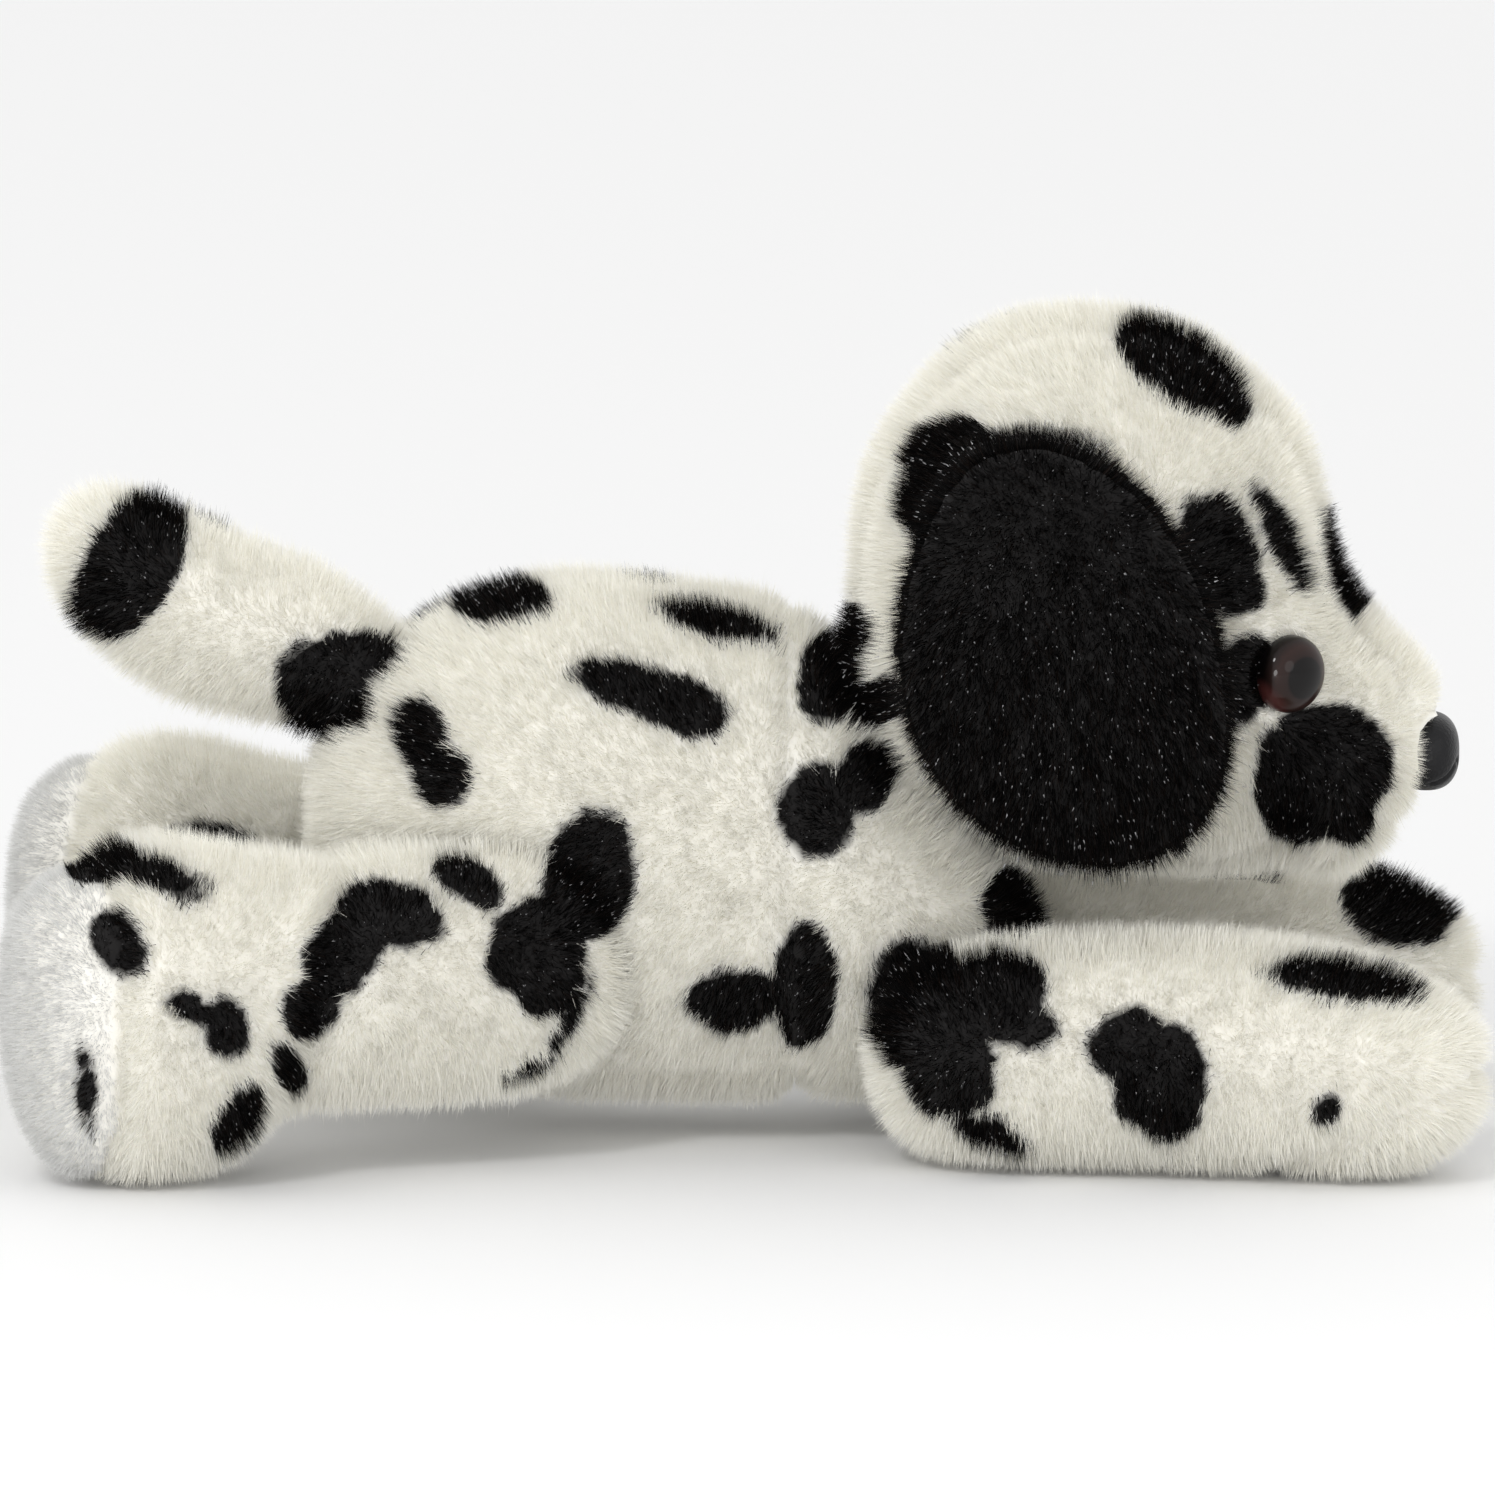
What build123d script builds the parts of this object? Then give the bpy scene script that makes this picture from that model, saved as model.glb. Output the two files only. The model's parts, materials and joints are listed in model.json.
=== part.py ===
from build123d import *
from math import cos, radians, tan
import os

# A plush dog that lies flat with its front legs forward and its hind legs back.
# Millimetres. +X is the way the dog faces, +Y is its left side, +Z is up.
# The origin is on the ground, under the middle of the toy's length and width.

# ---------------------------------------------------------------- driving dimensions
PILE_CLOTH = 3.0            # fur cloth: knitted backing plus pile as it lies
SLEEVE_CLOTH = 2.2          # the thinner cloth around the neck
FILL_GAP = 0.15             # stuffing stays this far inside its cloth
BAG_GAP = 0.1               # pellet bags stay this far inside the stuffing
RUNNING_GAP = 0.6           # room between limbs that move against each other

NECK_SEAM_X = 6.7           # ring seam where the chest panels meet the body panels
BELLY_HALF_WIDTH = 15.0     # the belly panel lies between two lengthwise seams
BELLY_TOP = 24.0
BODY_BAG_CENTRE = (-2.0, 0.0, 25.0)
BODY_BAG_HALF = (16.0, 13.0, 11.0)

NECK_POINT = (30.0, 0.0, 60.0)      # the head nods and turns about this point
NECK_RADIUS = 20.0
HEAD_CENTRE = (48.5, 0.0, 75.5)
HEAD_SWEEP = (40.0, 45.0, 46.0)     # half sizes of the room the head needs as it moves

GUSSET_HALF_WIDTH = 9.0     # the crown gusset runs from the nose over the head to the nape
GUSSET_BOTTOM = 56.0
CHIN_HALF_WIDTH = 13.0
CHIN_TOP = 43.0

EYE_SEAT = (75.0, 23.4, 67.6)       # where the left eye's centre meets the fur
EYE_OUTWARD = (0.64, 0.76, -0.05)
EYE_RADIUS = 5.0
EYE_DEPTH = 3.4                     # how far the dome stands out from its seat
NOSE_SEAT = (93.2, 0.0, 52.8)
NOSE_HALF = (4.6, 6.4, 5.4)
POST_RADIUS = 1.8                   # the buttons' posts, pressed into washers behind the cloth
POST_LENGTH = 9.0
NOSE_POST_INSIDE = 2.0              # the nose's post starts this deep inside the nose
WASHER_RADIUS = 5.0
WASHER_THICK = 1.2
EYE_WASHER_BACK = 6.0
NOSE_WASHER_BACK = 8.0

EAR_CENTRE = (41.9, 73.3)           # X and Z of the middle of the ear flap
EAR_HALF = (23.8, 31.5)
EAR_TILT = 17.0                     # the ear's top leans back by this many degrees
EAR_SHELL_CENTRE = (46.0, 0.0, 68.0)    # the ears lie on an ellipsoid around the head
EAR_SHELL_HALF = (60.0, 38.0, 49.0)
EAR_LINING = 2.6
EAR_THICK = 6.6                     # lining and outer cloth together

SHOULDER = (32.0, 28.0, 15.0)       # left shoulder joint
FRONT_SPLAY = 10.0                  # the front legs point this far outward at rest, degrees
FRONT_IN = 8.0                      # travel inward and outward from rest, degrees
FRONT_OUT = 30.0
FRONT_ROOT = 15.6                   # radius of the leg's root, seen from above
FRONT_POCKET_TOP = 34.0             # the torso is open for the front leg up to this height
FRONT_POCKET_SIDE = 11.0            # and out from this distance beside the middle
FRONT_SOLE_START = 42.0             # the sole patch starts here along the leg
FRONT_SOLE_DROP = 14.0              # and this far under its middle
FRONT_SOLE_TILT = 26.0
FRONT_BAG_CENTRE = (48.0, 0.0, -0.4)
FRONT_BAG_HALF = (13.0, 9.0, 8.6)
HIP = (-33.0, 25.0, 22.0)           # left hip joint
HIND_SPLAY = 17.0
HIND_IN = 6.0
HIND_OUT = 25.0
HIND_ROOT = 17.4
HIND_SOLE = 61.0                    # the sole pad starts this far behind the hip
HIND_POCKET_TOP = 47.0
HIND_POCKET_SIDE = 10.4
HIND_BAG_CENTRE = (49.0, 0.0, 0.0)
HIND_BAG_HALF = (12.0, 10.5, 12.5)
TAIL_ROOT = (-51.0, 0.0, 62.0)
TAIL_RADIUS = 9.6
TAIL_CONE = 30.0                    # length and slope of the opening behind the tail's seat
TAIL_CONE_SLOPE = 25.0
TAIL_MOUTH_GAP = 0.5                # the opening starts this much wider than the seat
TAIL_RISE = 25.0                    # the tail climbs this steeply from its root, degrees
TAIL_SWING = 16.0

BIG = 400.0                         # larger than the toy, for cutting blocks
SMALLEST_HALF = 0.8                 # half width of the smallest section of a form

# Sections along each stuffed form: distance along it, half width, half height, centre height.
TORSO = [
    (-61.0, 5.0, 7.0, 44.0),
    (-57.5, 15.0, 18.0, 43.0),
    (-48.0, 23.5, 28.5, 42.0),
    (-36.0, 28.0, 35.0, 41.5),
    (-20.0, 29.5, 37.0, 41.2),
    (-5.0, 29.0, 36.0, 40.0),
    (8.0, 28.0, 34.6, 38.8),
    (20.0, 26.0, 29.5, 33.5),
    (32.0, 21.0, 20.5, 27.5),
    (39.5, 12.0, 11.5, 26.0),
    (42.0, 5.0, 5.0, 26.0),
]
HEAD = [
    (14.8, 6.0, 8.0, 75.0),
    (18.0, 18.0, 21.0, 75.0),
    (26.0, 28.0, 31.5, 75.5),
    (37.0, 34.0, 38.0, 76.0),
    (49.0, 36.0, 39.0, 76.0),
    (61.0, 33.5, 38.0, 74.4),
    (71.0, 27.0, 34.0, 70.8),
    (78.5, 21.5, 28.5, 64.2),
    (84.0, 18.0, 19.8, 56.2),
    (89.5, 14.6, 14.6, 55.2),
    (93.6, 10.2, 10.2, 55.8),
    (96.0, 5.8, 5.8, 56.6),
    (96.9, 2.6, 2.6, 57.0),
]
FRONT_LEG = [
    (-15.5, 3.0, 3.0, 0.0),
    (-13.5, 7.6, 7.6, 0.0),
    (-8.0, 13.2, 13.2, 0.0),
    (0.0, 15.4, 15.6, 0.2),
    (18.0, 15.2, 16.8, 1.0),
    (38.0, 15.4, 16.8, 1.0),
    (54.0, 16.0, 15.4, -0.2),
    (64.0, 13.6, 11.6, -0.6),
    (69.5, 8.0, 6.6, -0.4),
    (71.2, 3.0, 2.6, -0.2),
]
HIND_LEG = [
    (-17.2, 3.0, 4.0, 4.0),
    (-15.0, 6.6, 10.0, 4.2),
    (-9.0, 10.8, 15.6, 4.6),
    (2.0, 13.2, 18.6, 5.0),
    (16.0, 14.4, 18.8, 4.8),
    (30.0, 15.6, 18.8, 4.6),
    (41.0, 17.6, 22.4, 2.4),
    (53.0, 18.4, 24.8, 1.4),
    (63.0, 16.4, 21.8, 0.6),
    (69.4, 10.6, 15.0, 2.0),
    (71.6, 4.0, 6.0, 2.0),
]
TAIL = [
    (-9.2, 2.4, 2.4, 0.0),
    (-7.4, 5.4, 5.4, 0.0),
    (0.0, 9.2, 9.2, 0.0),
    (5.0, 10.2, 10.2, 0.1),
    (12.0, 11.2, 11.6, 0.3),
    (24.0, 11.8, 12.6, -1.2),
    (35.0, 11.6, 12.0, -0.6),
    (44.5, 9.6, 9.8, 0.8),
    (49.4, 5.8, 6.0, 1.6),
    (51.4, 2.2, 2.2, 1.8),
]


# ---------------------------------------------------------------- shape helpers
def stuffed_form(sections, inset=0.0):
    """A smooth closed form through upright ellipses along X, made smaller all round by inset."""
    low = sections[0][0]
    high = sections[-1][0]
    middle = (low + high) / 2
    shrink = (high - low - 2 * inset) / (high - low)
    faces = []
    for along, half_width, half_height, height in sections:
        centre = (middle + (along - middle) * shrink, 0, height)
        upright = Plane(origin=centre, x_dir=(0, 1, 0), z_dir=(1, 0, 0))
        wide = max(half_width - inset, SMALLEST_HALF)
        tall = max(half_height - inset, SMALLEST_HALF)
        faces.append(upright * Ellipse(wide, tall))
    return loft(faces)


def ellipsoid(centre, half_sizes, spare=0.0):
    """An ellipsoid from its centre and its three half sizes, larger all round by spare."""
    unit = 10.0
    factors = tuple((size + spare) / unit for size in half_sizes)
    return Pos(*centre) * scale(Sphere(unit), by=factors)


def block(low, high):
    """A box between two opposite corners."""
    size = [b - a for a, b in zip(low, high)]
    middle = [(a + b) / 2 for a, b in zip(low, high)]
    return Pos(*middle) * Box(*size)


def left_half():
    return block((-BIG, 0, -BIG), (BIG, BIG, BIG))


def right_half():
    return block((-BIG, -BIG, -BIG), (BIG, 0, BIG))


def above_ground():
    return block((-BIG, -BIG, 0), (BIG, BIG, BIG))


def mirrored(shape):
    """The same piece on the dog's right side."""
    return mirror(shape, about=Plane.XZ)


def limb_place(joint, turn, facing_back=False):
    """Puts a form that runs along +X at a joint, turned outward on the left side."""
    heading = 180.0 - turn if facing_back else turn
    return Pos(*joint) * Rot(0, 0, heading)


def limb_pocket(joint, radius, top, inner_side, facing_back=False):
    """The room a leg's root and shaft need beside the torso: a well with a corridor."""
    x, y, _ = joint
    well = Pos(x, y, 0) * Cylinder(radius, 2 * top)
    ends = (-BIG, x) if facing_back else (x, BIG)
    corridor = block((ends[0], inner_side, -top), (ends[1], BIG, top))
    return well + corridor


# ---------------------------------------------------------------- torso
def torso_rooms():
    """Everything that must be clear of the torso: head, neck, leg roots and tail root."""
    head = ellipsoid(HEAD_CENTRE, HEAD_SWEEP)
    neck = Pos(*NECK_POINT) * Sphere(NECK_RADIUS + RUNNING_GAP)
    front = limb_pocket(SHOULDER, FRONT_ROOT + RUNNING_GAP, FRONT_POCKET_TOP, FRONT_POCKET_SIDE)
    hind = limb_pocket(HIP, HIND_ROOT + RUNNING_GAP, HIND_POCKET_TOP, HIND_POCKET_SIDE, True)
    return [head, neck, front, mirrored(front), hind, mirrored(hind)] + tail_rooms()


def tail_rooms():
    """A round seat for the tail's root, and a cone that opens behind it."""
    seat = Pos(*TAIL_ROOT) * Sphere(TAIL_RADIUS + RUNNING_GAP)
    near = (TAIL_RADIUS + RUNNING_GAP) / cos(radians(TAIL_SWING)) + TAIL_MOUTH_GAP
    far = near + TAIL_CONE * tan(radians(TAIL_CONE_SLOPE))
    cone = Pos(0, 0, TAIL_CONE / 2) * Cone(near, far, TAIL_CONE)
    return [seat, Pos(*TAIL_ROOT) * Rot(0, TAIL_RISE - 90, 0) * cone]


def cut_away(shape, rooms):
    for room in rooms:
        shape = shape - room
    return shape


def torso_pieces():
    rooms = torso_rooms()
    cloth = cut_away(stuffed_form(TORSO) - stuffed_form(TORSO, PILE_CLOTH), rooms)
    front = block((NECK_SEAM_X, -BIG, -BIG), (BIG, BIG, BIG))
    back = block((-BIG, -BIG, -BIG), (NECK_SEAM_X, BIG, BIG))
    belly = block((-BIG, -BELLY_HALF_WIDTH, -BIG), (NECK_SEAM_X, BELLY_HALF_WIDTH, BELLY_TOP))
    chest = cloth & front
    body = cloth & back
    flank = body - belly
    bag = ellipsoid(BODY_BAG_CENTRE, BODY_BAG_HALF)
    bag_room = ellipsoid(BODY_BAG_CENTRE, BODY_BAG_HALF, BAG_GAP)
    fill = cut_away(stuffed_form(TORSO, PILE_CLOTH + FILL_GAP), rooms)
    return {
        "chest_left_panel": chest & left_half(),
        "chest_right_panel": chest & right_half(),
        "body_left_panel": flank & left_half(),
        "body_right_panel": flank & right_half(),
        "belly_panel": body & belly,
        "body_stuffing": fill - bag_room,
        "body_pellet_bag": bag,
    }


# ---------------------------------------------------------------- neck and head
def neck_pieces():
    ball = Pos(*NECK_POINT) * Sphere(NECK_RADIUS)
    core = Pos(*NECK_POINT) * Sphere(NECK_RADIUS - SLEEVE_CLOTH)
    fill = Pos(*NECK_POINT) * Sphere(NECK_RADIUS - SLEEVE_CLOTH - FILL_GAP)
    return {"neck_sleeve": ball - core, "neck_stuffing": fill}


def button_place(seat, outward):
    """A plane at a plastic button's seat whose Z axis points out of the toy."""
    return Plane(origin=seat, z_dir=outward)


def eye(place):
    """A safety eye: a glossy dome on a ribbed post that passes through the cloth."""
    dome = scale(Sphere(EYE_RADIUS), by=(1, 1, EYE_DEPTH / EYE_RADIUS))
    post = Pos(0, 0, -POST_LENGTH / 2) * Cylinder(POST_RADIUS, POST_LENGTH)
    return place * (dome + post)


def nose():
    """A pebbled plastic nose button on its own post."""
    button = ellipsoid(NOSE_SEAT, NOSE_HALF)
    length = POST_LENGTH + NOSE_POST_INSIDE
    middle = NOSE_SEAT[0] + NOSE_POST_INSIDE / 2 - length / 2
    post = Pos(middle, 0, NOSE_SEAT[2]) * Rot(0, 90, 0) * Cylinder(POST_RADIUS, length)
    return button + post


def washer():
    """The toothed disc that is pressed on a post behind the cloth."""
    return Cylinder(WASHER_RADIUS, WASHER_THICK) - Cylinder(POST_RADIUS, 2 * WASHER_THICK)


def head_pieces():
    left_place = button_place(EYE_SEAT, EYE_OUTWARD)
    left_eye = eye(left_place)
    right_eye = mirrored(left_eye)
    left_washer = left_place * Pos(0, 0, -EYE_WASHER_BACK) * washer()
    right_washer = mirrored(left_washer)
    nose_button = nose()
    nose_washer = Pos(NOSE_SEAT[0] - NOSE_WASHER_BACK, 0, NOSE_SEAT[2]) * Rot(0, 90, 0) * washer()
    buttons = [left_eye, right_eye, nose_button]
    washers = [left_washer, right_washer, nose_washer]
    neck = Pos(*NECK_POINT) * Sphere(NECK_RADIUS + RUNNING_GAP)
    cloth = cut_away(stuffed_form(HEAD) - stuffed_form(HEAD, PILE_CLOTH), [neck] + buttons)
    fill = cut_away(stuffed_form(HEAD, PILE_CLOTH + FILL_GAP), [neck] + buttons + washers)
    wide = GUSSET_HALF_WIDTH
    gusset = block((-BIG, -wide, GUSSET_BOTTOM), (BIG, wide, BIG))
    chin = block((-BIG, -CHIN_HALF_WIDTH, -BIG), (BIG, CHIN_HALF_WIDTH, CHIN_TOP))
    sides = cloth - gusset - chin
    return {
        "head_left_panel": sides & left_half(),
        "head_right_panel": sides & right_half(),
        "crown_gusset": cloth & gusset,
        "chin_panel": cloth & chin,
        "head_stuffing": fill,
        "left_eye": left_eye,
        "right_eye": right_eye,
        "left_eye_washer": left_washer,
        "right_eye_washer": right_washer,
        "nose": nose_button,
        "nose_washer": nose_washer,
    }


def ear_layer(inner, outer):
    """One cloth of the ear: a rounded flap that follows the side of the head."""
    x, z = EAR_CENTRE
    outline = Rot(0, 0, EAR_TILT) * Ellipse(*EAR_HALF)
    flap = Pos(x, 0, z) * Rot(90, 0, 0) * extrude(outline, BIG, both=True)
    a, b, c = EAR_SHELL_HALF
    near = ellipsoid(EAR_SHELL_CENTRE, (a + inner, b + inner, c + inner))
    far = ellipsoid(EAR_SHELL_CENTRE, (a + outer, b + outer, c + outer))
    return (far - near) & flap & left_half()


def ear_pieces():
    lining = ear_layer(0.0, EAR_LINING)
    outer = ear_layer(EAR_LINING, EAR_THICK)
    return {
        "left_ear_lining": lining,
        "left_ear_outer": outer,
        "right_ear_lining": mirrored(lining),
        "right_ear_outer": mirrored(outer),
    }


# ---------------------------------------------------------------- legs
def both_sides(left_pieces):
    """Names the left pieces and adds their mirror images on the right."""
    pieces = {}
    for name, shape in left_pieces.items():
        pieces["left_" + name] = shape
        pieces["right_" + name] = mirrored(shape)
    return pieces


def front_leg_pieces():
    place = limb_place(SHOULDER, FRONT_SPLAY)
    ground = above_ground()
    outer = place * stuffed_form(FRONT_LEG)
    inner = place * stuffed_form(FRONT_LEG, PILE_CLOTH)
    cloth = (outer - inner) & ground
    below = block((0, -BIG, -BIG), (BIG, BIG, 0))
    sole_side = place * Pos(FRONT_SOLE_START, 0, -FRONT_SOLE_DROP) * Rot(0, -FRONT_SOLE_TILT, 0) * below
    bag = place * ellipsoid(FRONT_BAG_CENTRE, FRONT_BAG_HALF)
    bag_room = place * ellipsoid(FRONT_BAG_CENTRE, FRONT_BAG_HALF, BAG_GAP)
    fill = place * stuffed_form(FRONT_LEG, PILE_CLOTH + FILL_GAP) - bag_room
    return both_sides({
        "front_leg_cloth": cloth - sole_side,
        "front_leg_sole": cloth & sole_side,
        "front_leg_stuffing": fill,
        "front_leg_pellet_bag": bag,
    })


def hind_leg_pieces():
    place = limb_place(HIP, HIND_SPLAY, True)
    ground = above_ground()
    outer = place * stuffed_form(HIND_LEG)
    inner = place * stuffed_form(HIND_LEG, PILE_CLOTH)
    cloth = (outer - inner) & ground
    sole_side = place * block((HIND_SOLE, -BIG, -BIG), (BIG, BIG, BIG))
    inboard = place * block((-BIG, 0, -BIG), (HIND_SOLE, BIG, BIG))
    outboard = place * block((-BIG, -BIG, -BIG), (HIND_SOLE, 0, BIG))
    bag = place * ellipsoid(HIND_BAG_CENTRE, HIND_BAG_HALF)
    bag_room = place * ellipsoid(HIND_BAG_CENTRE, HIND_BAG_HALF, BAG_GAP)
    fill = place * stuffed_form(HIND_LEG, PILE_CLOTH + FILL_GAP) - bag_room
    return both_sides({
        "hind_leg_outer_panel": cloth & outboard,
        "hind_leg_inner_panel": cloth & inboard,
        "hind_sole_pad": cloth & sole_side,
        "hind_leg_stuffing": fill,
        "hind_leg_pellet_bag": bag,
    })


# ---------------------------------------------------------------- tail
def tail_pieces():
    place = Pos(*TAIL_ROOT) * Rot(0, 180 + TAIL_RISE, 0) * Rot(180, 0, 0)
    cloth = place * (stuffed_form(TAIL) - stuffed_form(TAIL, PILE_CLOTH))
    return {
        "tail_left_panel": cloth & left_half(),
        "tail_right_panel": cloth & right_half(),
        "tail_stuffing": place * stuffed_form(TAIL, PILE_CLOTH + FILL_GAP),
    }


def main():
    os.makedirs("parts", exist_ok=True)
    groups = [
        torso_pieces(),
        neck_pieces(),
        head_pieces(),
        ear_pieces(),
        front_leg_pieces(),
        hind_leg_pieces(),
        tail_pieces(),
    ]
    for pieces in groups:
        for name, shape in pieces.items():
            export_step(shape, f"parts/{name}.step")


main()
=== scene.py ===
import json
import math

import bmesh
import bpy
import numpy as np
from mathutils import Matrix, Vector
from mathutils.bvhtree import BVHTree

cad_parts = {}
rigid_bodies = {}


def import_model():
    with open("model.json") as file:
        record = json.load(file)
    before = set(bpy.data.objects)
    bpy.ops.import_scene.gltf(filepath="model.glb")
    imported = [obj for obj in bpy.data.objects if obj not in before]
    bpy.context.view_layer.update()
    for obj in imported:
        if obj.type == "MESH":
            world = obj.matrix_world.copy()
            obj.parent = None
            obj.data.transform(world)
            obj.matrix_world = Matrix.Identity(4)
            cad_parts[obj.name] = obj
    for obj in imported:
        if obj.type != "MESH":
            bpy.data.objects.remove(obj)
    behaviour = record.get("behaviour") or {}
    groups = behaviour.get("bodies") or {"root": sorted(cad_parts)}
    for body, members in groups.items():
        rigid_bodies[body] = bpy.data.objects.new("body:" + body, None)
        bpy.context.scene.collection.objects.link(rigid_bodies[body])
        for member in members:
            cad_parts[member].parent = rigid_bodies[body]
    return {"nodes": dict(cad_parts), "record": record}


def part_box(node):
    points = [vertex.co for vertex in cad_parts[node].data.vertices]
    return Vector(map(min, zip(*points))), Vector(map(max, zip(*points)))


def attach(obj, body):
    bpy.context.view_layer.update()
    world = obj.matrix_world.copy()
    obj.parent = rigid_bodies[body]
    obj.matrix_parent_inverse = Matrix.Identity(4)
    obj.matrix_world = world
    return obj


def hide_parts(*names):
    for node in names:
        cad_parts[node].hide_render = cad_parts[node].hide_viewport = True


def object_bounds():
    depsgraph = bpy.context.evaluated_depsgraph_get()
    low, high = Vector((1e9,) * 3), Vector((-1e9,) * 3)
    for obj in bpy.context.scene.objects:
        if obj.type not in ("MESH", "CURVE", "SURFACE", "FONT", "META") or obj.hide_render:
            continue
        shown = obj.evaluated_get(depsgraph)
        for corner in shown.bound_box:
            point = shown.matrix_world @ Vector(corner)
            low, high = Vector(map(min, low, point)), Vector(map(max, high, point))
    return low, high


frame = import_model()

# The looks of a spotted plush dog that lies flat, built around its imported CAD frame.
# Each sewn form gets a stuffed skin, worked out from its CAD panels, and each panel gets
# its own pile of cut fibres. Lengths in this file are metres unless a name ends in _MM.

MM = 0.001
CAD_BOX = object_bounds()

# ---------------------------------------------------------------- driving values
VIEW_RISE = math.radians(10.0)       # the camera looks down at this angle

# skins
PILE_INSET = 2.0 * MM                # a skin lies this far inside its CAD surface
INSETS = {                           # the same for forms with another inset
    "ear": 1.6 * MM,
    "neck": 3.5 * MM,
    "tail": 1.4 * MM,
    "leg": 1.7 * MM,
    "head": 1.7 * MM,
}
SHORT_PILE_INSET = 0.25              # share of the inset under short pile, which hides less
SEAM_DEPTH = 1.0 * MM                # a seam pulls the skin in by this much
SEAM_WIDTH = 2.6 * MM
NO_SEAM = 1.0                        # distance given to skins with only one panel
FOLD_DEPTH = 1.7 * MM                # the fold around each hind leg, ahead of its foot
FOLD_WIDTH = 3.6 * MM
FOLD_BEHIND_HIP = 31.0 * MM
FOLD_LEAN = 0.22                     # the fold slants by this share of the height
SWELL_PRESSURE = 16.0
SWELL_FRAMES = 12
SWELL_CAP = 0.9 * MM                 # the stuffing pushes the cloth out by no more than this
BURIED = 3.5 * MM                    # a skin this deep inside its neighbour needs no pile
JOINT_REACH = {                      # and only this near the joint between the two
    "neck": 24 * MM,
    "front_leg": 16 * MM,
    "hind_leg": 18 * MM,
    "tail": 10 * MM,
}

# ears
EAR_FORWARD = 0.2 * MM
EAR_CORNER = 4.2 * MM                # how far the lower front corner is drawn out
EAR_TOP_DROP = 1.6 * MM
EAR_ROOT_HALF = (13.0 * MM, 4.2 * MM, 3.6 * MM)
EAR_ROOT_OUT = 1.2 * MM              # the root's middle from its hinge
EAR_ROOT_DROP = 4.4 * MM

# pile
PILE_LENGTH = 3.3 * MM
SHORT_PILE = 1.9 * MM                # pile of the hind sole pads
LINING_PILE = 2.2 * MM
EAR_PILE = 3.8 * MM
PILE_WIDTH = 0.13 * MM
PILE_PER_M2 = 13.0e6                 # fibres on a square metre of skin
COMBED = 0.30                        # how far the fibres lean along the nap,
CLUMPED = 0.10                       # with their neighbours,
LOOSE = 0.16                         # and each its own way
CLUMP_MM = 5.0
LENGTH_SPREAD = 0.13
LENGTH_LIMITS = (0.6, 1.35)
WIDTH_LIMITS = (0.7, 1.3)
STRAY_SHARE = 0.03                   # a few fibres were missed by the shears
STRAY_LENGTH = 1.25
SEAM_TRIM = 0.35                     # the pile is this much shorter on a seam
SEAM_TRIM_WIDTH = 1.6 * MM
BUTTON_TRIM = 0.62                   # and this much shorter at the rim of an eye or the nose
BUTTON_TRIM_WIDTH = 2.2 * MM
PAINTED_GLINT_START = 0.82                   # a painted glint: a few black fibres get a grey tip, which starts this far along the fibre
PAINTED_GLINT_WIDTH = 1.3
GROUND_CLEARANCE = 0.1 * MM

# printed patches
PATCH_DEPTH_MM = 20.0                # a patch reaches this far along the view
PATCH_EDGE_MM = 0.25                 # fibres of both colours mix this far across its edge
PATCH_ALONG_FIBRE = 0.5              # a fibre takes the colour of the print under this share of it
STEEPEST = 0.25                      # facing below this no longer stretches the print
FACING_AWAY = 0.35
OUTSIDE_MM = -50.0
FAR_EDGE_MM = 4.0                    # patches of the far side stop this far from the middle

# eyes and nose
EYE_OUTWARD = (0.64, 0.76, -0.05)    # the left eye looks this way
EYE_WASHER_BACK = 6.0 * MM           # its washer sits this far behind its seat
EYE_RADIUS = 5.4 * MM
EYE_DEPTH = 3.5 * MM
EYE_SKIRT = 1.2 * MM                 # its straight rim behind the dome
EYE_BACK_RADIUS = 0.96 * EYE_RADIUS
NOSE_HALF_LENGTH = 4.6 * MM
NOSE_FORWARD = 0.9 * MM              # the pressed pile lets the nose stand a little further out
NOSE_BARE_RADIUS = 6.8 * MM          # no pile grows this near the nose's middle
NOSE_SQUARENESS = 2.5                # 2 would be an ellipsoid
GROOVE_DEPTH = 0.10                  # the nostril grooves, as shares of the nose's half sizes
GROOVE_WIDTH = 0.085
GROOVE_TOP = -0.15
GROOVE_MIDDLE = 0.42
GROOVE_CURVE = 0.55 / 0.12
GROOVE_INNER = 0.2
GROOVE_OUTER = 0.85
GROOVE_FADE = 0.1
GROOVE_FRONT = 0.1


# ---------------------------------------------------------------- sewn forms
TORSO_PANELS = [
    "chest_left_panel", "chest_right_panel", "body_left_panel", "body_right_panel", "belly_panel",
]
HEAD_PANELS = ["head_left_panel", "head_right_panel", "crown_gusset", "chin_panel"]

# Each sewn form: its name, panels, inner nodes, nodes that only lend it their shape, the size
# of its skin's faces, and whether the skin starts from the hull around the nodes.
FORMS = [
    ("torso", TORSO_PANELS, ["body_stuffing", "body_pellet_bag"], [], 1.8 * MM, True),
    ("head", HEAD_PANELS, ["head_stuffing"], ["neck_sleeve", "neck_stuffing"], 1.6 * MM, False),
    ("neck", ["neck_sleeve"], ["neck_stuffing"], [], 1.8 * MM, True),
    ("tail", ["tail_left_panel", "tail_right_panel"], ["tail_stuffing"], [], 1.3 * MM, False),
]
for side in ("left", "right"):
    leg = side + "_front_leg"
    FORMS.append((leg, [leg + "_cloth", leg + "_sole"], [leg + "_stuffing", leg + "_pellet_bag"], [],
                  1.5 * MM, False))
    leg = side + "_hind_leg"
    FORMS.append((leg, [leg + "_outer_panel", leg + "_inner_panel", side + "_hind_sole_pad"],
                  [leg + "_stuffing", leg + "_pellet_bag"], [], 1.5 * MM, False))
    ear = side + "_ear"
    FORMS.append((ear, [ear + "_outer", ear + "_lining"], [], [], 1.2 * MM, False))

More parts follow.
